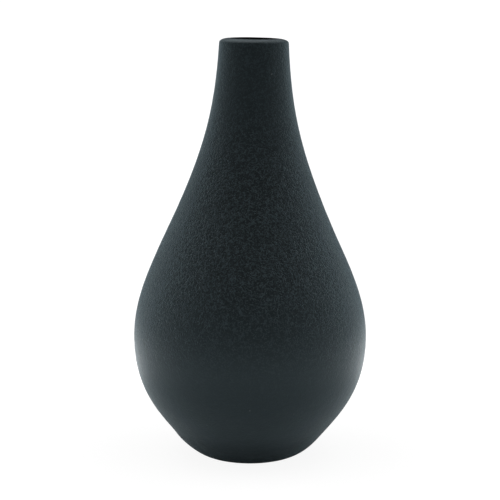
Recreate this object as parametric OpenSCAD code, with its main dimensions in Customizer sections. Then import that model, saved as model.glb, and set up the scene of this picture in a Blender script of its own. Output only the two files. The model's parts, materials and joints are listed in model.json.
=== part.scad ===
// Teardrop stoneware vase: one hollow clay wall on a small trimmed foot, coated outside and
// over the lip with a thick matte glaze, and lined inside with a thinner one.
// Millimetres, +Z up. The origin is on the vase's axis, in the plane that it stands on.
// Every solid is turned about the axis from an outline of points [radius, height].

/* [Overall] */
// Height from the standing plane to the top of the lip
height = 250; // [208:1:300]

/* [Foot] */
// Diameter of the bare clay foot
foot_d = 54; // [45:0.5:65]
// Height of the bare clay between the standing plane and the edge of the glaze
foot_bare = 0.5; // [0.3:0.1:2]
// Rise of the underside where it leaves the foot, in degrees
foot_rise = 22; // [10:1:40]
// Bevel on both edges of the standing ring
foot_bevel = 0.6; // [0.2:0.1:1.5]
// Diameter of the hollow trimmed into the underside
recess_d = 40; // [30:0.5:42]
// Depth of that hollow
recess_depth = 2; // [1:0.1:4]

/* [Body] */
// Diameter of the heel, where the underside turns up into the belly
heel_d = 87; // [73:0.5:105]
// Height of the heel
heel_z = 13; // [10:0.5:17]
// Rise of the wall at the heel, in degrees
heel_rise = 50; // [35:1:65]
// Diameter of the belly at its widest
belly_d = 139; // [115:0.5:168]
// Height of the widest place
belly_z = 72; // [60:0.5:88]
// Diameter at the shoulder, where the swell turns into the neck
shoulder_d = 96; // [80:0.5:115]
// Height of that place
shoulder_z = 140; // [116:0.5:160]
// Inward lean of the wall at the shoulder, in degrees
shoulder_lean = 24.5; // [15:0.5:32]

/* [Neck and mouth] */
// Diameter of the neck just under the lip
neck_d = 40.5; // [36:0.5:50]
// Inward lean of the neck under the lip, in degrees
neck_lean = 3.5; // [0:0.5:8]
// Height of the rounding outside the lip, measured on the glaze
lip_h = 2.5; // [2:0.1:6]
// Radius of the clay's own edge inside the lip, which ends at the highest ring
crest_out = 0.4; // [0.2:0.1:3.2]
// Bore of the mouth, measured on the glaze
mouth_d = 26; // [21:0.5:31.5]
// Length of the straight bore under the lip
throat_len = 16; // [8:0.5:20]

/* [Walls] */
// Thickness of the finished wall at the heel, belly and shoulder, without the lining
wall = 6.5; // [5:0.1:8]
// Thickness of the clay and the hollow under it at the middle of the floor
floor_t = 9; // [7:0.1:12]
// Thickness of the glaze outside and over the lip
glaze_t = 0.8; // [0.4:0.1:1.2]
// Thickness of the glaze that lines the inside
liner_t = 0.6; // [0.3:0.1:1]

/* [Hidden] */
$fn = 96;

// How far each curve pulls along its end's direction, as shares of the line between its two ends.
foot_pull = 0.25;
heel_pull_down = 0.54;
heel_pull_up = 0.27;
belly_pull_down = 0.48;
belly_pull_up = 0.3;
shoulder_pull_down = 0.45;
shoulder_pull_up = 0.455;
neck_pull = 0.325;
throat_pull = 0.2;
floor_pull = 0.5;

// Flat steps along a curve, and along each half of the lip.
curve_steps = 14;
lip_steps = 8;

foot_r = foot_d / 2;
mouth_r = mouth_d / 2;
recess_r = recess_d / 2;
lip_z = height - lip_h;

// Thickness of the clay at the lip, and the most of it that the edge's rounding may take up.
lip_wall = neck_d / 2 - mouth_r - 2 * glaze_t;
edge_share = 0.9;

// The glaze wraps the clay's edge inside the lip, so it is rounder there by its own thickness.
edge_r = min(crest_out, edge_share * lip_wall) + glaze_t;
crest_r = mouth_r + edge_r;
bore_top = height - edge_r;
throat_z = bore_top - throat_len;

// A place on an outline is [point, direction in degrees]: 90 is straight up, 0 is outwards.
foot = [[foot_r + glaze_t, foot_bare], foot_rise];
heel = [[heel_d / 2, heel_z], heel_rise];
belly = [[belly_d / 2, belly_z], 90];
shoulder = [[shoulder_d / 2, shoulder_z], 90 + shoulder_lean];
neck = [[neck_d / 2, lip_z], 90 + neck_lean];

// The same places on the clay inside, met on the way down.
throat_in = [[mouth_r + glaze_t, throat_z], 270];
shoulder_in = inner(shoulder);
belly_in = inner(belly);
heel_in = inner(heel);
floor_in = [[0, floor_t], 180];

function heading(angle) = [cos(angle), sin(angle)];
function side(angle) = [sin(angle), -cos(angle)];

// The place one wall further in, facing the other way.
function inner(place) = [place[0] - wall * side(place[1]), place[1] + 180];

// The four control points of the curve between two places.
function controls(a, b, pull_a, pull_b) =
    let (far = norm(b[0] - a[0]))
    [a[0], a[0] + far * pull_a * heading(a[1]), b[0] - far * pull_b * heading(b[1]), b[0]];

function on_curve(p, t) =
    p[0] * pow(1 - t, 3) + p[1] * 3 * t * pow(1 - t, 2) + p[2] * 3 * t * t * (1 - t) + p[3] * pow(t, 3);

function along_curve(p, t) =
    (p[1] - p[0]) * pow(1 - t, 2) + (p[2] - p[1]) * 2 * t * (1 - t) + (p[3] - p[2]) * t * t;

// Points of a curve, sunk into the wall by a depth. The first is left to the piece before it.
function curve(a, b, pull_a, pull_b, depth, first = 1) =
    let (p = controls(a, b, pull_a, pull_b))
    [for (i = [first : curve_steps])
        let (d = along_curve(p, i / curve_steps))
        on_curve(p, i / curve_steps) - depth * [d[1], -d[0]] / norm(d)];

// Points of one half of the lip, a quarter round from one angle, across by reach and up by rise.
// A depth shrinks both about the same middle, so the clay under the glaze never folds over itself.
function lip_half(reach, rise, from, depth) =
    [for (i = [1 : lip_steps])
        let (angle = from + 90 * i / lip_steps)
        [crest_r + (reach - depth) * cos(angle), height - rise + (rise - depth) * sin(angle)]];

// The glazed outside, from the foot up over the lip and down the straight bore.
function outside(depth) = concat(
    curve(foot, heel, foot_pull, heel_pull_down, depth, first = 0),
    curve(heel, belly, heel_pull_up, belly_pull_down, depth),
    curve(belly, shoulder, belly_pull_up, shoulder_pull_down, depth),
    curve(shoulder, neck, shoulder_pull_up, neck_pull, depth),
    lip_half(neck_d / 2 - crest_r, lip_h, 0, depth),
    lip_half(edge_r, edge_r, 90, depth),
    [[mouth_r + depth, throat_z]]);

// The inside, from the end of the bore down to the middle of the floor.
function inside(depth) = concat(
    [[mouth_r + glaze_t + depth, throat_z]],
    curve(throat_in, shoulder_in, throat_pull, shoulder_pull_up, depth),
    curve(shoulder_in, belly_in, shoulder_pull_down, belly_pull_up, depth),
    curve(belly_in, heel_in, belly_pull_down, heel_pull_up, depth),
    curve(heel_in, floor_in, heel_pull_down / 2, floor_pull, depth));

// The underside, from the middle of the trimmed hollow out over the standing ring.
underside = [
    [0, recess_depth],
    [recess_r - recess_depth, recess_depth],
    [recess_r, foot_bevel],
    [recess_r + foot_bevel, 0],
    [foot_r - foot_bevel, 0],
    [foot_r, foot_bare]];

function reversed(list) = [for (i = [len(list) - 1 : -1 : 0]) list[i]];

// The fired clay: wall, floor and foot in one piece.
module stoneware_body() {
    color("saddlebrown")
        rotate_extrude()
            polygon(concat(underside, outside(glaze_t), [for (i = [1 : len(inside(0)) - 1]) inside(0)[i]]));
}

// The matte coat, from the foot over the lip to the end of the bore.
module outer_glaze() {
    color("#24292b")
        rotate_extrude()
            polygon(concat(outside(0), reversed(outside(glaze_t))));
}

// The lining, which makes the vase hold water.
module liner_glaze() {
    color("#3a4043")
        rotate_extrude()
            polygon(concat(inside(0), reversed(inside(-liner_t))));
}

stoneware_body();
outer_glaze();
liner_glaze();
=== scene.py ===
# %% [markdown]
# # A stoneware vase with a pebbled matte glaze
# The real vase is one hollow of fired clay, with a thick charcoal glaze outside and a thinner glaze inside.
# Solids of the right size already exist for those three parts. They are loaded here as a fixed frame, and
# everything below takes its size and its place from them.

import json
import math

import bpy
import numpy as np
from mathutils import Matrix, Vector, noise

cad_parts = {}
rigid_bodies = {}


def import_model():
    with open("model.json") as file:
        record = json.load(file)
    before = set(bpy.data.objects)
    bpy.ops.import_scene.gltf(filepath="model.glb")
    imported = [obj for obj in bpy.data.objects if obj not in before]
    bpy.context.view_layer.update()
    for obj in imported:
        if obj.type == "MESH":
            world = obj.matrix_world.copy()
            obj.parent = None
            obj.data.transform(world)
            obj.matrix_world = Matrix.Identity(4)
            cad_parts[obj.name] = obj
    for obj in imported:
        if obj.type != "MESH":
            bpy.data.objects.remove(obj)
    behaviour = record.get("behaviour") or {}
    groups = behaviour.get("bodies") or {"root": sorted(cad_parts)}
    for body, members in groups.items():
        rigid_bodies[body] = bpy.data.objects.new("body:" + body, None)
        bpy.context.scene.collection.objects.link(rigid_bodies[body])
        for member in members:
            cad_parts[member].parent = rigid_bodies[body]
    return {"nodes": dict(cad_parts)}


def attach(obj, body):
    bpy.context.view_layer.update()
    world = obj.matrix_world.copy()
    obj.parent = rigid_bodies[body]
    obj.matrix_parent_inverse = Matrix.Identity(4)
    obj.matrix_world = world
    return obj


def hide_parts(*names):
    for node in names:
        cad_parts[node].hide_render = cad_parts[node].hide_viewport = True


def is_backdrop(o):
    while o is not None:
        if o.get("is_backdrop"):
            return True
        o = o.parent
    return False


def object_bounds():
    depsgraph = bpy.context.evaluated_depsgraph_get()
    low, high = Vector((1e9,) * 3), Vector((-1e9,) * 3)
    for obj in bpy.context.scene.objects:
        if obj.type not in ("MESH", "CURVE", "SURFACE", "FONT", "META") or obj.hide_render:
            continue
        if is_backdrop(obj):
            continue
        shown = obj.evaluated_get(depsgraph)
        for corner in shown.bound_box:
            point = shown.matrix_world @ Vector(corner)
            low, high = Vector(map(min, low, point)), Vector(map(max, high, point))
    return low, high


for leftover in list(bpy.data.objects):
    bpy.data.objects.remove(leftover)
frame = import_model()
cad_low, cad_high = (list(corner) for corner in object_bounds())
VASE_HEIGHT = cad_high[2]
MM = 0.001
print("solids:", sorted(frame["nodes"]), "height", round(VASE_HEIGHT / MM, 2), "mm")

# %% [markdown]
# ## The outline of a turned piece
# A thrown pot is round, so one line says its whole shape: how far the clay is from the axis at each height.
# All the corners of a turned solid that lie on one ring share a distance and a height. Each ring is collected
# once, and the faces say which rings are neighbours, so walking from ring to ring gives the line back.

# %% Read an outline from a solid
SAME_RING = 0.016 * MM


def rings_of(node):
    """The rings of a turned solid as (distance from the axis, height), and the neighbours of each."""
    mesh = frame["nodes"][node].data
    rings, ring_in_cell, ring_of_corner = [], {}, []
    for corner in mesh.vertices:
        ring = (math.hypot(corner.co.x, corner.co.y), corner.co.z)
        cell = tuple(round(part / SAME_RING) for part in ring)
        around = [(cell[0] + i, cell[1] + j) for i in (0, -1, 1) for j in (0, -1, 1)]
        found = next((ring_in_cell[c] for c in around if c in ring_in_cell), None)
        if found is None:
            found = ring_in_cell[cell] = len(rings)
            rings.append(ring)
        ring_of_corner.append(found)
    beside = [set() for _ in rings]
    for face in mesh.polygons:
        touched = {ring_of_corner[i] for i in face.vertices}
        for ring in touched:
            beside[ring] |= touched - {ring}
    return rings, beside


def outline_of(node):
    """The outline from its lowest end on the axis, or for a closed coat from its lowest outer corner."""
    rings, beside = rings_of(node)
    ends = [i for i in range(len(rings)) if len(beside[i]) == 1]
    if ends:
        walk = [min(ends, key=lambda i: rings[i][1])]
        walk.append(next(iter(beside[walk[0]])))
    else:
        walk = [min(range(len(rings)), key=lambda i: rings[i][1])]
        walk.append(max(beside[walk[0]], key=lambda i: rings[i][0]))
    while ahead := [i for i in beside[walk[-1]] if i not in walk]:
        walk.append(ahead[0])
    line = [rings[i] for i in walk]
    if ends and line[0][0] > SAME_RING:
        line.insert(0, (0.0, line[0][1]))
    return np.array(line)


glaze_line = outline_of("outer_glaze")
clay_line = outline_of("stoneware_body")
lining_line = outline_of("liner_glaze")
print("rings read:", len(glaze_line), len(clay_line), len(lining_line))

# %% [markdown]
# ## Flowing curves and soft corners
# The solids are made of short straight-sided rings. A potter's rib leaves a flowing curve, so the line is
# drawn again as a smooth curve through the same points. Where the line turns sharply, as at the foot or at
# the end of a coat, it is a real corner. Fired clay and melted glaze never keep a sharp one, so each corner
# becomes a small round.

# %% Smooth the outlines
CORNER_TURN = math.radians(24)
CORNER_ROUND = 0.3 * MM
CORNER_SHARE = 0.4
NO_LENGTH = 1e-12


def unit(step):
    return step / max(np.linalg.norm(step), NO_LENGTH)


def soften(line, closed):
    """Replaces each sharp corner by a short round."""
    last = len(line) - 1
    soft = []
    for i, here in enumerate(line):
        if not closed and i in (0, last):
            soft.append(here)
            continue
        back, on = line[i - 1] - here, line[(i + 1) % len(line)] - here
        turn = math.pi - math.acos(np.clip(unit(back) @ unit(on), -1, 1))
        if turn < CORNER_TURN:
            soft.append(here)
            continue
        shorter = min(np.linalg.norm(back), np.linalg.norm(on))
        reach = min(CORNER_ROUND, CORNER_SHARE * shorter)
        start, end = here + unit(back) * reach, here + unit(on) * reach
        for t in (0, 0.25, 0.5, 0.75, 1):
            soft.append(start * (1 - t) ** 2 + here * 2 * t * (1 - t) + end * t**2)
    return np.array(soft)


def flow(line, closed, spacing):
    """Points along a smooth curve through the line, and the share of the way at which each one lies.

    spacing(share, point) says how far apart the points are there.
    """
    count = len(line)
    pairs = count if closed else count - 1
    smooth, shares = [], []
    for i in range(pairs):
        a, b = line[i], line[(i + 1) % count]
        before = line[i - 1] if closed or i else a
        after = line[(i + 2) % count] if closed or i + 2 < count else b
        span = np.linalg.norm(b - a)
        leave = (b - before) / (np.linalg.norm(b - a) + np.linalg.norm(a - before) + NO_LENGTH)
        arrive = (after - a) / (np.linalg.norm(after - b) + span + NO_LENGTH)
        steps = max(1, round(span / spacing(i / pairs, a)))
        for t in np.arange(steps) / steps:
            shares.append((i + t) / pairs)
            smooth.append(
                a * (2 * t**3 - 3 * t**2 + 1)
                + b * (3 * t**2 - 2 * t**3)
                + leave * span * (t**3 - 2 * t**2 + t)
                + arrive * span * (t**3 - t**2)
            )
    if not closed:
        smooth.append(line[-1])
        shares.append(1.0)
    return np.array(smooth), np.array(shares)


SKIN_STEP = 1.3 * MM
HIDDEN_COAT_STEP = 6 * MM
FOOT_STEP = 0.35 * MM
PLAIN_STEP = 3 * MM
FOOT_TOP = 4 * MM


def skin_spacing(share, place):
    """Close together on the outer half of the coat, which shows, and wide apart against the clay."""
    return SKIN_STEP if share < 0.5 else HIDDEN_COAT_STEP


def foot_spacing(share, place):
    """Close together at the foot, which shows, and wide apart elsewhere."""
    return FOOT_STEP if place[1] < FOOT_TOP else PLAIN_STEP


glaze_curve, glaze_shares = flow(soften(glaze_line, True), True, skin_spacing)
clay_curve, _ = flow(soften(clay_line, False), False, foot_spacing)
lining_curve, _ = flow(soften(lining_line, False), False, foot_spacing)
print("points on the smooth curves:", len(glaze_curve), len(clay_curve), len(lining_curve))

# %% [markdown]
# ## Signs of the hand
# A thrown vase is never quite true. This one's neck leans a few millimetres to one side and its rim tips with
# it, one side of the heel is a little fuller, and the wall wavers by about a tenth of a millimetre. One
# function bends all three pieces alike, so that clay and glazes stay in touch.

# %% Bend a piece as the real one is bent
LEAN = 2.4 * MM
LEAN_FROM = 130 * MM
LEAN_PAST_LIP = 1.05
LEAN_SOFTNESS = 0.04
LEAN_BOW = 0.45
RIM_TILT = math.radians(1.0)
FULL_HEEL = 0.65 * MM
FULL_HEEL_HEIGHT = 11.5 * MM
FULL_HEEL_SPREAD = 5 * MM
WAVER = 0.12 * MM
WAVERS_ACROSS = 28
WAVERS_UP = 20
WAVER_START = 7.3
GROWN = 0.2 * MM
GROWN_FROM_AXIS = 12 * MM


def waver(points):
    """A slow unevenness of the wall, from -1 to 1."""
    x, y, z = points.T
    places = np.stack([x * WAVERS_ACROSS, y * WAVERS_ACROSS, z * WAVERS_UP + WAVER_START], axis=1)
    return np.array([noise.noise(place) for place in places])


def by_hand(points):
    """Moves points from the true turned shape to the hand-made one."""
    x, y, z = points.T
    far = np.hypot(x, y)
    share = np.where(far > 0, 1 / np.maximum(far, 1e-9), 0)
    swell = (GROWN + WAVER * waver(points)) * np.minimum(1, far / GROWN_FROM_AXIS)
    heel = np.exp(-(((z - FULL_HEEL_HEIGHT) / FULL_HEEL_SPREAD) ** 2))
    swell = swell + FULL_HEEL * heel * np.maximum(0, -x * share) ** 2
    x, y = x + x * share * swell, y + y * share * swell
    t = np.clip((z - LEAN_FROM) / (VASE_HEIGHT - LEAN_FROM), 0, LEAN_PAST_LIP)
    t = (1 + LEAN_SOFTNESS) * t**2 / (t + LEAN_SOFTNESS)
    tilt = RIM_TILT * t
    lean = LEAN * ((1 + LEAN_BOW) * t - LEAN_BOW * t**2)
    return np.stack([x * np.cos(tilt) + lean, y, z - x * np.sin(tilt)], axis=1)


# %% [markdown]
# ## Turning the pieces
# The wheel is imitated by a lathe: each point of the outline becomes a ring of points, and neighbouring rings
# are joined by four-sided faces. A point on the axis becomes one single point, so the middle of the foot
# closes without a hole. A lathe of our own is used, and not the screw modifier, because it can also raise
# each point by its own small amount.

# %% A lathe
COLUMNS = 264
ON_AXIS = 0.001 * MM


def turned(name, curve, closed, lumps=None):
    """A piece turned from a curve. lumps gives how far each point of a row is raised from the skin."""
    along = np.roll(curve, -1, axis=0) - np.roll(curve, 1, axis=0)
    outward = np.stack([along[:, 1], -along[:, 0]], axis=1)
    outward = outward / np.linalg.norm(outward, axis=1)[:, None]
    angles = np.arange(COLUMNS) * 2 * math.pi / COLUMNS
    around = np.stack([np.cos(angles), np.sin(angles)], axis=1)
    points, first = [], [0]
    for row, (far, height) in enumerate(curve):
        if far < ON_AXIS:
            points.append((0, 0, height))
        else:
            ring = np.column_stack([around * far, np.full(COLUMNS, height)])
            if lumps:
                side = np.column_stack([around * outward[row, 0], np.full(COLUMNS, outward[row, 1])])
                ring = ring + side * lumps(row, ring)[:, None]
            points.extend(ring.tolist())
        first.append(len(points))
    faces = []
    rows = len(curve) if closed else len(curve) - 1
    for row in range(rows):
        above = (row + 1) % len(curve)
        low, high = first[row], first[above]
        for j in range(COLUMNS):
            k = (j + 1) % COLUMNS
            if first[row + 1] - low == 1:
                faces.append((low, high + k, high + j))
            elif first[above + 1] - high == 1:
                faces.append((low + j, low + k, high))
            else:
                faces.append((low + j, low + k, high + k, high + j))
    mesh = bpy.data.meshes.new(name)
    mesh.from_pydata(by_hand(np.array(points)).tolist(), [], faces)
    mesh.polygons.foreach_set("use_smooth", [True] * len(faces))
    mesh.update()
    piece = bpy.data.objects.new(name, mesh)
    bpy.context.scene.collection.objects.link(piece)
    print(name, "has", len(points), "points and", len(faces), "faces")
    return piece


# %% [markdown]
# ## The glaze coat, the clay and the lining
# A thick matte glaze dries and melts into a lumpy skin, so the coat's outside gets real, low pebbles. They
# are small in height, but they break up the light at the edges in a way that a bump in the material can't.
# The hollow under the foot is cut with a loop tool while the pot turns, and that leaves a low spiral. Both
# could be a displacement modifier, but a small function keeps the pebbles away from the coat's two edges.

# %% The three pieces
PEBBLE_RISE = 0.05 * MM
PEBBLE_SIZE = 3.6 * MM
PEBBLES_FROM = 0.01
PEBBLES_TO = 0.49
PEBBLES_FADE = 0.02


def pebbles(row, ring):
    """Low lumps on the outer half of the glaze coat, dying out towards its two edges."""
    share = glaze_shares[row]
    strength = np.clip(min(share - PEBBLES_FROM, PEBBLES_TO - share) / PEBBLES_FADE, 0, 1)
    if strength == 0:
        return np.zeros(len(ring))
    return strength * PEBBLE_RISE * np.array([noise.noise(place / PEBBLE_SIZE) for place in ring])


TURNING_RISE = 0.06 * MM
TURNING_PITCH = 1.7 * MM
TURNED_HOLLOW_R = 18 * MM
TURNING_FADE_IN = 2 * MM
TURNING_FADE_OUT = 1 * MM


def turning_marks(row, ring):
    """The low spiral that the trimming tool leaves in the hollow under the foot."""
    far, height = clay_curve[row]
    if height > FOOT_TOP or far > TURNED_HOLLOW_R:
        return np.zeros(len(ring))
    strength = np.clip(min(far / TURNING_FADE_IN, (TURNED_HOLLOW_R - far) / TURNING_FADE_OUT), 0, 1)
    angle = np.arctan2(ring[:, 1], ring[:, 0])
    return strength * TURNING_RISE * np.cos(2 * math.pi * far / TURNING_PITCH - angle)


glaze_coat = turned("glaze_coat", glaze_curve, True, pebbles)
clay_body = turned("clay_body", clay_curve, False, turning_marks)
glaze_lining = turned("glaze_lining", lining_curve, False)

# %% [markdown]
# ## Shared effects
# Two effects are used by more than one material, so each is a node group with its own named inputs. A group
# is built once, and each material places it with values of its own. A few small helpers keep that short.

# %% Node helpers
def node_group(name, takes, gives):
    """An empty shader node group with number inputs (name, value) and outputs (name, kind)."""
    group = bpy.data.node_groups.new(name, "ShaderNodeTree")
    for label, value in takes:
        socket = group.interface.new_socket(label, in_out="INPUT", socket_type="NodeSocketFloat")
        socket.default_value = value
    for label, kind in gives:
        group.interface.new_socket(label, in_out="OUTPUT", socket_type=kind)
    return group, group.nodes.new("NodeGroupInput"), group.nodes.new("NodeGroupOutput")


def add(tree, kind, settings=(), **inputs):
    """Adds a node; an input is either a value or another node's output."""
    node = tree.nodes.new(kind)
    for key, value in dict(settings).items():
        setattr(node, key, value)
    for label, value in inputs.items():
        socket = node.inputs[int(label[1:])] if label[0] == "_" else node.inputs[label.replace("_", " ")]
        if isinstance(value, bpy.types.NodeSocket):
            tree.links.new(value, socket)
        else:
            socket.default_value = value
    return node


def math_node(tree, operation, a, b=0.0):
    return add(tree, "ShaderNodeMath", {"operation": operation}, _0=a, _1=b).outputs[0]


def soft_step(tree, value, low, high):
    """0 below low and 1 above high, with an S-shaped rise between."""
    kind = {"interpolation_type": "SMOOTHSTEP"}
    return add(tree, "ShaderNodeMapRange", kind, Value=value, From_Min=low, From_Max=high).outputs["Result"]


# %% [markdown]
# ## The pebbled skin of a glaze
# Crystals and closed pinholes leave a fired glaze finely pebbled, with grit between. Two sizes of noise added
# together give that as a height, which feeds a bump. The tips of the highest pebbles come out as a mask.

# %% Group: pebbled skin
PEBBLE_DETAIL = 1.5
PEBBLE_SWIRL = 1.3
TIPS_FROM = 0.69
TIPS_TO = 0.79

skin, taken, given = node_group(
    "pebbled glaze skin",
    [("Pebbles per metre", 740.0), ("Grit per metre", 1900.0), ("Grit share", 0.35)],
    [("Height", "NodeSocketFloat"), ("Tips", "NodeSocketFloat")],
)
here = add(skin, "ShaderNodeTexCoord").outputs["Object"]
pebble_noise = add(
    skin,
    "ShaderNodeTexNoise",
    Vector=here,
    Scale=taken.outputs["Pebbles per metre"],
    Detail=PEBBLE_DETAIL,
    Distortion=PEBBLE_SWIRL,
)
grit_size = taken.outputs["Grit per metre"]
grit_noise = add(skin, "ShaderNodeTexNoise", Vector=here, Scale=grit_size, Detail=0.0)
grit = math_node(skin, "MULTIPLY", grit_noise.outputs[0], taken.outputs["Grit share"])
height = math_node(skin, "ADD", pebble_noise.outputs[0], grit)
skin.links.new(height, given.inputs["Height"])
skin.links.new(soft_step(skin, height, TIPS_FROM, TIPS_TO), given.inputs["Tips"])
print("the pebbled skin has", len(skin.nodes), "nodes")

# %% [markdown]
# ## Uneven colour from the kiln
# No fired surface is one flat colour. Slow clouds come from how thick the glaze lies and how the flame
# passed, and rare flecks are iron spots in the clay. Soft noise gives the clouds. A cell pattern gives the
# flecks, with only one cell in about eighty chosen, so that they stay rare.

# %% Group: kiln mottle
CLOUDS_FROM = 0.3
CLOUDS_TO = 0.7
FLECK_EDGE = 0.16
FLECK_CORE = 0.08
CHOSEN_FROM = 0.985
CHOSEN_TO = 0.99

mottle, taken, given = node_group(
    "kiln mottle",
    [("Clouds per metre", 22.0), ("Flecks per metre", 240.0)],
    [("Clouds", "NodeSocketFloat"), ("Flecks", "NodeSocketFloat")],
)
here = add(mottle, "ShaderNodeTexCoord").outputs["Object"]
clouds = add(mottle, "ShaderNodeTexNoise", Vector=here, Scale=taken.outputs["Clouds per metre"], Detail=3.0)
flecks = add(mottle, "ShaderNodeTexVoronoi", Vector=here, Scale=taken.outputs["Flecks per metre"])
mottle.links.new(soft_step(mottle, clouds.outputs[0], CLOUDS_FROM, CLOUDS_TO), given.inputs["Clouds"])
speck = soft_step(mottle, flecks.outputs["Distance"], FLECK_EDGE, FLECK_CORE)
cell_number = add(mottle, "ShaderNodeSeparateColor", Color=flecks.outputs["Color"]).outputs[0]
few = soft_step(mottle, cell_number, CHOSEN_FROM, CHOSEN_TO)
mottle.links.new(math_node(mottle, "MULTIPLY", speck, few), given.inputs["Flecks"])
print("the kiln mottle has", len(mottle.nodes), "nodes")

# %% [markdown]
# ## Making a finish
# Every finish starts the same way: a material with one shader, the shared groups placed in it, and colours
# mixed by a mask.

# %% Material helpers
def new_material(name):
    material = bpy.data.materials.new(name)
    material.use_nodes = True
    tree = material.node_tree
    return material, tree, tree.nodes["Principled BSDF"]


def place_group(tree, group, **values):
    node = tree.nodes.new("ShaderNodeGroup")
    node.node_tree = group
    for label, value in values.items():
        node.inputs[label.replace("_", " ")].default_value = value
    return node


def mixed(tree, share, a, b):
    """A colour between a and b."""
    node = tree.nodes.new("ShaderNodeMix")
    node.data_type = "RGBA"
    tree.links.new(share, node.inputs[0])
    for socket, colour in ((node.inputs[6], a), (node.inputs[7], b)):
        if isinstance(colour, bpy.types.NodeSocket):
            tree.links.new(colour, socket)
        else:
            socket.default_value = (*colour, 1)
    return node.outputs[2]


def ranged(tree, share, low, high):
    """A number that goes from low to high as the share goes from 0 to 1."""
    return add(tree, "ShaderNodeMapRange", Value=share, To_Min=low, To_Max=high).outputs[0]


def height_of(tree):
    """The height above the foot at each place of a surface."""
    here = add(tree, "ShaderNodeTexCoord").outputs["Object"]
    return add(tree, "ShaderNodeSeparateXYZ", Vector=here).outputs["Z"]


# %% [markdown]
# ## The matte charcoal glaze
# The outer glaze is nearly black, with a cool and slightly green cast. It scatters light from tiny
# crystals, so it is no mirror, but its sides glow softly where they are seen at a low angle. That glow is the
# shader's own gloss at a high roughness, and some sheen. The skin is leathery on the shoulders, finer on the
# neck, and smooth low on the belly, where the glaze ran thick. A bump gives the relief, and its ridges are
# painted a little paler, a painted highlight on the pebble tips that leaves the creases between them as
# painted shade. The top of the rim is painted grey, partly where the glaze breaks thin over the edge and
# partly as a painted highlight on the rim's top.

# %% Material: matte glaze
CHARCOAL = (0.0003, 0.0004, 0.0005)
CHARCOAL_THIN = (0.0005, 0.0007, 0.0008)
PALE_AND_LIT_TIPS = (0.0195, 0.0279, 0.0312)
EVEN_TIPS = 0.72
GREY_FLECK = (0.06, 0.068, 0.07)
RIM_BREAK_AND_HIGHLIGHT = (0.085, 0.098, 0.104)
RIM_FROM = 248.0 * MM
RIM_TO = 249.6 * MM
SMOOTH_BELLY = 50 * MM
LEATHERY_FROM = 125 * MM
LEATHERY_TO = 165 * MM
FINE_NECK = 222 * MM
BELLY_RELIEF = 0.12
NECK_RELIEF = 0.45
VALLEY_ROUGH = 0.44
TIP_ROUGH = 0.36
SKIN_RELIEF = 0.8 * MM

matte_glaze, tree, shader = new_material("matte_glaze")
skin_here = place_group(tree, skin)
mottle_here = place_group(tree, mottle)
up = height_of(tree)
colour = mixed(tree, mottle_here.outputs["Clouds"], CHARCOAL, CHARCOAL_THIN)
low_rise = soft_step(tree, up, SMOOTH_BELLY, LEATHERY_FROM)
low_smooth = add(tree, "ShaderNodeMapRange", Value=low_rise, To_Min=BELLY_RELIEF).outputs[0]
high_rise = soft_step(tree, up, FINE_NECK, LEATHERY_TO)
high_smooth = add(tree, "ShaderNodeMapRange", Value=high_rise, To_Min=NECK_RELIEF).outputs[0]
lumpy = math_node(tree, "MULTIPLY", low_smooth, high_smooth)
# Painted highlight and shade: the highest pebble tips are painted paler and the creases between stay dark;
# where the relief fades out, one even share of the pale colour is used instead.
pale_and_lit_share = add(tree, "ShaderNodeMix", _0=lumpy, _2=EVEN_TIPS, _3=skin_here.outputs["Tips"]).outputs[0]
colour = mixed(tree, pale_and_lit_share, colour, PALE_AND_LIT_TIPS)
colour = mixed(tree, mottle_here.outputs["Flecks"], colour, GREY_FLECK)
# The rim's top is painted grey: partly where the glaze breaks thin over the edge, partly a painted highlight
# where the top catches the overhead light.
colour = mixed(tree, soft_step(tree, up, RIM_FROM, RIM_TO), colour, RIM_BREAK_AND_HIGHLIGHT)
tree.links.new(colour, shader.inputs["Base Color"])
rough = ranged(tree, skin_here.outputs["Tips"], VALLEY_ROUGH, TIP_ROUGH)
tree.links.new(rough, shader.inputs["Roughness"])
lumpy_height = math_node(tree, "MULTIPLY", skin_here.outputs["Height"], lumpy)
bump = add(tree, "ShaderNodeBump", Strength=1.0, Distance=SKIN_RELIEF, Height=lumpy_height)
tree.links.new(bump.outputs[0], shader.inputs["Normal"])
shader.inputs["IOR"].default_value = 1.45
shader.inputs["Specular IOR Level"].default_value = 0.10
shader.inputs["Specular Tint"].default_value = (0.72, 0.94, 1.0, 1)
shader.inputs["Sheen Weight"].default_value = 0.36
shader.inputs["Sheen Roughness"].default_value = 0.5
shader.inputs["Sheen Tint"].default_value = (0.70, 0.91, 1.0, 1)
glaze_coat.data.materials.append(matte_glaze)
print("matte glaze has", len(tree.nodes), "nodes")

# %% [markdown]
# ## The same glaze inside the mouth
# The coat turns over the lip and runs down the bore, where hardly any light reaches it. It is the same glaze
# without the pale ridges, and its colour is painted darker, a painted shade for the dim bore; it has almost
# no gloss. It is a second material on the faces past the highest ring of the lip, because the change comes
# exactly at that ring.

# %% Material: throat glaze
THROAT_PAINTED_SHADE = (0.0012, 0.0016, 0.0018)
THROAT_VALLEY_ROUGH = 0.42
THROAT_TIP_ROUGH = 0.34
THROAT_RELIEF = 0.3 * MM

throat_glaze, tree, shader = new_material("throat_glaze")
skin_here = place_group(tree, skin, Pebbles_per_metre=400.0)
mottle_here = place_group(tree, mottle)
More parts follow.
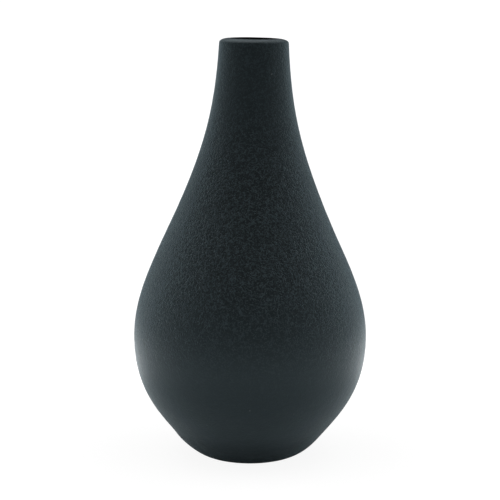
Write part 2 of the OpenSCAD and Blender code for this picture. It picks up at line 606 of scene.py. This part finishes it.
# Painted shade: the bore's colour is painted darker than the outer coat's.
colour = mixed(tree, mottle_here.outputs["Clouds"], THROAT_PAINTED_SHADE, CHARCOAL)
tree.links.new(colour, shader.inputs["Base Color"])
rough = ranged(tree, skin_here.outputs["Tips"], THROAT_VALLEY_ROUGH, THROAT_TIP_ROUGH)
tree.links.new(rough, shader.inputs["Roughness"])
bump = add(tree, "ShaderNodeBump", Strength=0.5, Distance=THROAT_RELIEF, Height=skin_here.outputs["Height"])
tree.links.new(bump.outputs[0], shader.inputs["Normal"])
shader.inputs["Specular IOR Level"].default_value = 0.03
glaze_coat.data.materials.append(throat_glaze)
crest = int(np.argmax(glaze_curve[:, 1]))
for face in glaze_coat.data.polygons:
    if face.index // COLUMNS > crest:
        face.material_index = 1
print("the mouth begins at ring", crest, "of", len(glaze_curve))

# %% [markdown]
# ## The lining
# A thinner glaze is poured in and swirled round, which makes the clay hold water. It is smoother and a little
# shinier than the outside, so the same skin group is used with larger, lower pebbles.

# %% Material: glaze lining
LINING_DARK = (0.018, 0.021, 0.022)
LINING_PALE = (0.030, 0.034, 0.036)
LINING_SHINY = 0.28
LINING_DULL = 0.36
LINING_RELIEF = 0.05 * MM

lining_glaze, tree, shader = new_material("lining_glaze")
skin_here = place_group(tree, skin, Pebbles_per_metre=260.0, Grit_per_metre=700.0, Grit_share=0.2)
mottle_here = place_group(tree, mottle, Clouds_per_metre=35.0)
colour = mixed(tree, mottle_here.outputs["Clouds"], LINING_DARK, LINING_PALE)
tree.links.new(colour, shader.inputs["Base Color"])
rough = ranged(tree, mottle_here.outputs["Clouds"], LINING_SHINY, LINING_DULL)
tree.links.new(rough, shader.inputs["Roughness"])
bump = add(tree, "ShaderNodeBump", Strength=0.6, Distance=LINING_RELIEF, Height=skin_here.outputs["Height"])
tree.links.new(bump.outputs[0], shader.inputs["Normal"])
glaze_lining.data.materials.append(lining_glaze)
print("lining glaze has", len(tree.nodes), "nodes")

# %% [markdown]
# ## Bare clay
# The foot is wiped clean before firing, or the glaze would glue the pot to the kiln shelf. Fired stoneware is
# a dry warm brown with fine grit and iron specks. It has no gloss at all, so nearly all of its look is the
# mottle, the grit and a high roughness.

# %% Material: bare clay
CLAY_DARK = (0.21, 0.165, 0.13)
CLAY_PALE = (0.28, 0.225, 0.185)
IRON_SPECK = (0.06, 0.045, 0.035)
CLAY_VALLEY_ROUGH = 0.78
CLAY_TIP_ROUGH = 0.9
CLAY_RELIEF = 0.06 * MM

bare_clay, tree, shader = new_material("bare_clay")
mottle_here = place_group(tree, mottle, Clouds_per_metre=60.0, Flecks_per_metre=420.0)
skin_here = place_group(tree, skin, Pebbles_per_metre=900.0, Grit_per_metre=2400.0, Grit_share=0.8)
colour = mixed(tree, mottle_here.outputs["Clouds"], CLAY_DARK, CLAY_PALE)
colour = mixed(tree, mottle_here.outputs["Flecks"], colour, IRON_SPECK)
tree.links.new(colour, shader.inputs["Base Color"])
rough = ranged(tree, skin_here.outputs["Height"], CLAY_VALLEY_ROUGH, CLAY_TIP_ROUGH)
tree.links.new(rough, shader.inputs["Roughness"])
bump = add(tree, "ShaderNodeBump", Strength=0.7, Distance=CLAY_RELIEF, Height=skin_here.outputs["Height"])
tree.links.new(bump.outputs[0], shader.inputs["Normal"])
clay_body.data.materials.append(bare_clay)
print("bare clay has", len(tree.nodes), "nodes")

# %% [markdown]
# ## Joining the pieces to the frame
# Each piece stands for one of the loaded solids and rides on the one body, and that solid is hidden.

# %% Attach the pieces and hide the solids
for piece, node, slot in (
    (clay_body, "stoneware_body", "bare_clay"),
    (glaze_coat, "outer_glaze", "matte_glaze"),
    (glaze_lining, "liner_glaze", "liner_glaze"),
):
    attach(piece, "root")
    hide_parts(node)

# %% [markdown]
# ## The table
# The vase stands on a plain white table that runs on into a white background. A lit table sends light back
# up at the underside of a pot. Here that is a soft ring of glow around the foot, and only the camera sees the
# table as plain white, so that the glow can be set without changing how the table looks. Near the foot a
# small share of the real table still shows, and with it a faint shadow.

# %% Floor
FLOOR_REACH = 30.0
TABLE_BRIGHT_FROM = 0.12
TABLE_BRIGHT_AT = 0.25
TABLE_BRIGHT_TO = 0.65
TABLE_GLOW = 2.05
TABLE_NEAR = 0.15
TABLE_FAR = 0.6
TABLE_PALE = (0.86, 0.86, 0.86)
TABLE_DARK = (0.05, 0.05, 0.05)
WHITE = 1.08
WHITE_SHARE = 0.85
WHITE_FROM = 0.1
WHITE_TO = 0.5

floor_mesh = bpy.data.meshes.new("floor")
corners = [(x * FLOOR_REACH, y * FLOOR_REACH, 0) for x, y in ((-1, -1), (1, -1), (1, 1), (-1, 1))]
floor_mesh.from_pydata(corners, [], [(0, 1, 2, 3)])
floor = bpy.data.objects.new("floor", floor_mesh)
bpy.context.scene.collection.objects.link(floor)
floor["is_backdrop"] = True

floor_white, tree, shader = new_material("floor_white")
here = add(tree, "ShaderNodeTexCoord").outputs["Object"]
away = add(tree, "ShaderNodeVectorMath", {"operation": "LENGTH"}, _0=here).outputs["Value"]
pale = soft_step(tree, away, TABLE_FAR, TABLE_NEAR)
colour = mixed(tree, pale, TABLE_DARK, TABLE_PALE)
tree.links.new(colour, shader.inputs["Base Color"])
shader.inputs["Roughness"].default_value = 0.9
shader.inputs["Specular IOR Level"].default_value = 0.1
glow_begins = soft_step(tree, away, TABLE_BRIGHT_FROM, TABLE_BRIGHT_AT)
glow_ends = soft_step(tree, away, TABLE_BRIGHT_TO, TABLE_BRIGHT_AT)
tree.links.new(math_node(tree, "MULTIPLY", glow_begins, glow_ends), shader.inputs["Emission Color"])
shader.inputs["Emission Strength"].default_value = TABLE_GLOW
plain_white = add(tree, "ShaderNodeEmission", Strength=WHITE)
share = ranged(tree, soft_step(tree, away, WHITE_FROM, WHITE_TO), WHITE_SHARE, 1.0)
seen = math_node(tree, "MULTIPLY", add(tree, "ShaderNodeLightPath").outputs["Is Camera Ray"], share)
both = add(tree, "ShaderNodeMixShader", _0=seen, _1=shader.outputs[0], _2=plain_white.outputs[0])
tree.links.new(both.outputs[0], tree.nodes["Material Output"].inputs["Surface"])
floor.data.materials.append(floor_white)
print("the table glows from", TABLE_BRIGHT_FROM, "to", TABLE_BRIGHT_TO, "m from the axis")

# %% [markdown]
# ## The light
# Two big soft lights hang overhead, one to the left and one to the right, with faint ones level at each side.
# They could be area lamps, but a lamp has an edge that shows in the gloss. A world that is brighter in those
# directions has none, so the upright front of the dark pot stays dark and its sides fade up smoothly.

# %% Overhead light
SOFT_LIGHT = 2.4
SIDE_LIGHT = 0.42
LIGHT_FROM = math.sin(math.radians(40))
LIGHT_FULL = math.sin(math.radians(70))
MIDDLE_SHARE = 0.25
SIDES_SHARE = 2.8
BESIDE_FROM = 0.8
BESIDE_FULL = 1.0

world = bpy.data.worlds.new("studio")
bpy.context.scene.world = world
world.use_nodes = True
tree = world.node_tree
direction = add(tree, "ShaderNodeTexCoord").outputs["Generated"]
heading = add(tree, "ShaderNodeSeparateXYZ", Vector=direction)
overhead = soft_step(tree, heading.outputs["Z"], LIGHT_FROM, LIGHT_FULL)
sideways = math_node(tree, "ABSOLUTE", heading.outputs["X"])
sides = ranged(tree, sideways, MIDDLE_SHARE, SIDES_SHARE)
overhead = math_node(tree, "MULTIPLY", math_node(tree, "MULTIPLY", overhead, sides), SOFT_LIGHT)
beside = soft_step(tree, sideways, BESIDE_FROM, BESIDE_FULL)
light = math_node(tree, "ADD", overhead, math_node(tree, "MULTIPLY", beside, SIDE_LIGHT))
seen = add(tree, "ShaderNodeLightPath").outputs["Is Camera Ray"]
light = add(tree, "ShaderNodeMix", _0=seen, _2=light, _3=WHITE).outputs[0]
tree.links.new(light, tree.nodes["Background"].inputs["Strength"])
tree.nodes["Background"].inputs["Color"].default_value = (1, 1, 1, 1)
print("overhead light", SOFT_LIGHT, "side light", SIDE_LIGHT)

# %% [markdown]
# ## The camera
# A vase is seen best from a metre away with a long lens, which keeps its outline nearly true. The camera is
# a little higher than the lip, so that the mouth shows as a thin dark opening, and it looks slightly down.

# %% Camera
CAMERA_BACK = 1050.7 * MM
CAMERA_HEIGHT = 297.3 * MM
CAMERA_PITCH = math.radians(9.352)
CAMERA_LENS = 128.3

camera_data = bpy.data.cameras.new("camera")
camera_data.lens = CAMERA_LENS
camera_data.clip_start = 0.01
camera_data.clip_end = 200
camera = bpy.data.objects.new("camera", camera_data)
camera.location = (0, -CAMERA_BACK, CAMERA_HEIGHT)
camera.rotation_euler = (math.radians(90) - CAMERA_PITCH, 0, 0)
bpy.context.scene.collection.objects.link(camera)
bpy.context.scene.camera = camera
bpy.context.scene.view_settings.view_transform = "Standard"
print("the camera is", round((CAMERA_HEIGHT - VASE_HEIGHT) / MM, 1), "mm above the lip")

# %% [markdown]
# ## The box of the solids
# The box of the loaded solids is written down. Both boxes are written down side
# by side, and the last line then checks every piece and hands the model over.

# %% Write down the solids' box
print("solid box", cad_low, cad_high)
